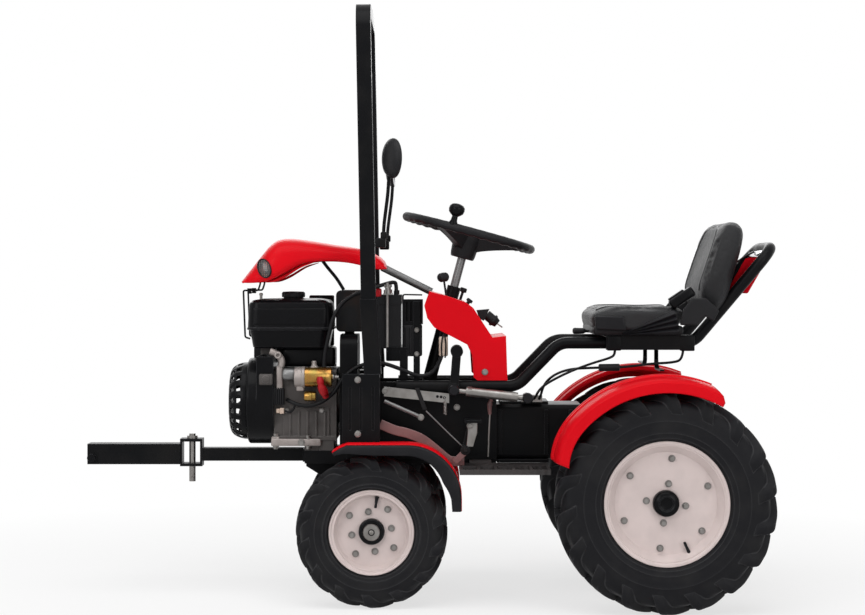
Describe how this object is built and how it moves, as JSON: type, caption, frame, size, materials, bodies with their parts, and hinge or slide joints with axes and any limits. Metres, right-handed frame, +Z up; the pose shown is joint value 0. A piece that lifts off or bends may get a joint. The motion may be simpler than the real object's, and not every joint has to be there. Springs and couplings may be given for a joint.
{
  "type": "mini tractor",
  "caption": "Small ride-on tractor with an open engine ahead of the driver, red hood and fenders, roll hoop, steering on front knuckles and agricultural tyres.",
  "frame": {"origin": "centre of the bounding box's footprint on the ground", "axes": "+X forward, +Y to the driver's left, +Z up"},
  "size_m": [1.916, 0.86, 1.6342],
  "materials": {
    "tyre": "matte",
    "rim": "satin",
    "hub": "satin",
    "frame_black": "satin",
    "zinc": "satin",
    "red": "gloss",
    "cast": "matte",
    "engine_black": "satin",
    "plastic_black": "matte",
    "gold": "satin",
    "vinyl": "satin",
    "lens": "gloss",
    "tail_red": "gloss",
    "strap": "satin",
    "tread": "matte"
  },
  "bodies": {
    "chassis": {"front_axle": "frame_black", "steering_column": "frame_black", "main_frame": "frame_black", "side_plates": "frame_black", "roll_posts": "frame_black", "roll_hoop": "frame_black", "front_bar": "frame_black", "front_bar_tube": "frame_black", "seat_tubes": "frame_black", "seat_base": "frame_black", "gearbox": "frame_black", "rear_axle": "frame_black", "drive_shaft": "frame_black", "belt_case": "frame_black", "rocker_arm": "frame_black", "hood_stays": "frame_black", "hitch_pin": "zinc", "engine_mounts": "zinc", "battery_clamp": "zinc", "pedals": "zinc", "control_links": "zinc", "hood": "red", "dash_console": "red", "rear_fenders": "red", "front_fenders": "red", "crankcase": "cast", "fan_housing": "engine_black", "recoil_guard": "engine_black", "fuel_tank": "engine_black", "muffler": "engine_black", "air_cleaner": "plastic_black", "battery": "plastic_black", "mirrors": "plastic_black", "dash_controls": "plastic_black", "starter_motor": "gold", "seat_cushion": "vinyl", "seat_back": "vinyl", "headlamps": "lens", "tail_lamp": "tail_red", "straps": "strap", "footrests": "tread", "brake_cables": "plastic_black", "wire_looms": "plastic_black"},
    "front_wheel_left": {"front_tyre_left": "tyre", "front_rim_left": "rim", "front_hub_left": "hub"},
    "front_wheel_right": {"front_tyre_right": "tyre", "front_rim_right": "rim", "front_hub_right": "hub"},
    "rear_wheel_left": {"rear_tyre_left": "tyre", "rear_rim_left": "rim", "rear_hub_left": "hub"},
    "rear_wheel_right": {"rear_tyre_right": "tyre", "rear_rim_right": "rim", "rear_hub_right": "hub"},
    "knuckle_left": {"knuckle_left": "frame_black"},
    "knuckle_right": {"knuckle_right": "frame_black"},
    "tie_rod": {"tie_rod": "zinc"},
    "steering_arm": {"steering_arm": "frame_black"},
    "steering_wheel": {"steering_wheel": "plastic_black"}
  },
  "joints": [
    {"name": "left_knuckle_steer", "type": "hinge", "parent": "chassis", "child": "knuckle_left", "pos_m": [0.155, 0.18, 0.204], "axis": [0, 0, 1], "range_deg": [-28, 28]},
    {"name": "right_knuckle_steer", "type": "hinge", "parent": "chassis", "child": "knuckle_right", "pos_m": [0.155, -0.18, 0.204], "axis": [0, 0, 1], "range_deg": [-28, 28]},
    {"name": "steering_arm_turn", "type": "hinge", "parent": "chassis", "child": "steering_arm", "pos_m": [0.105, 0, 0.26], "axis": [0, 0, 1], "range_deg": [-28, 28]},
    {"name": "tie_rod_end", "type": "hinge", "parent": "knuckle_left", "child": "tie_rod", "pos_m": [0.055, 0.18, 0.272], "axis": [0, 0, 1], "range_deg": [-28, 28]},
    {"name": "steering_wheel_turn", "type": "hinge", "parent": "chassis", "child": "steering_wheel", "pos_m": [-0.061, 0, 0.828], "axis": [-0.2588, 0, 0.9659], "range_deg": [-224, 224]},
    {"name": "front_left_roll", "type": "hinge", "parent": "knuckle_left", "child": "front_wheel_left", "pos_m": [0.155, 0.247, 0.204], "axis": [0, 1, 0], "continuous": true},
    {"name": "front_right_roll", "type": "hinge", "parent": "knuckle_right", "child": "front_wheel_right", "pos_m": [0.155, -0.247, 0.204], "axis": [0, 1, 0], "continuous": true},
    {"name": "rear_left_roll", "type": "hinge", "parent": "chassis", "child": "rear_wheel_left", "pos_m": [-0.622, 0.35, 0.293], "axis": [0, 1, 0], "continuous": true},
    {"name": "rear_right_roll", "type": "hinge", "parent": "chassis", "child": "rear_wheel_right", "pos_m": [-0.622, -0.35, 0.293], "axis": [0, 1, 0], "continuous": true}
  ],
  "couplings": [
    {"joint": "right_knuckle_steer", "follows": "left_knuckle_steer", "ratio": 1},
    {"joint": "steering_arm_turn", "follows": "left_knuckle_steer", "ratio": 1},
    {"joint": "tie_rod_end", "follows": "left_knuckle_steer", "ratio": -1},
    {"joint": "steering_wheel_turn", "follows": "left_knuckle_steer", "ratio": 8}
  ]
}
